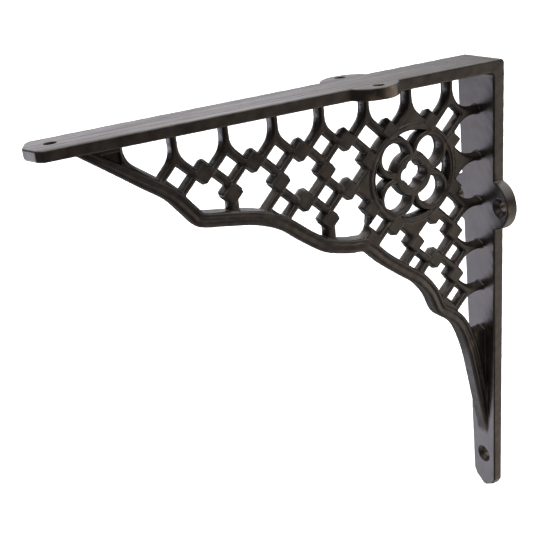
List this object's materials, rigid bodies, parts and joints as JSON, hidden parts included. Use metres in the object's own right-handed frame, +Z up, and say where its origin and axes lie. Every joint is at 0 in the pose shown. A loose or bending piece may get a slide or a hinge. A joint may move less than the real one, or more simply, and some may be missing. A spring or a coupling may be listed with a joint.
{
  "type": "shelf bracket",
  "caption": "Ornate cast iron shelf bracket: an arm and a tapering wall plate joined by a pierced web of diamond tracery with a quatrefoil rosette and a swagged lower rib.",
  "frame": {"origin": "middle of the wall plate's back face, halfway up the plate, on the wall", "axes": "+Y points into the wall, -Y out along the arm, +Z up to the shelf face, X across the width; the casting is symmetric in X"},
  "size_m": [0.0484, 0.2432, 0.265],
  "materials": {
    "iron": "dark brown-black antique finish, satin, with brown wear on the edges"
  },
  "bodies": {
    "root": {"bracket_casting": "iron"}
  },
  "joints": []
}
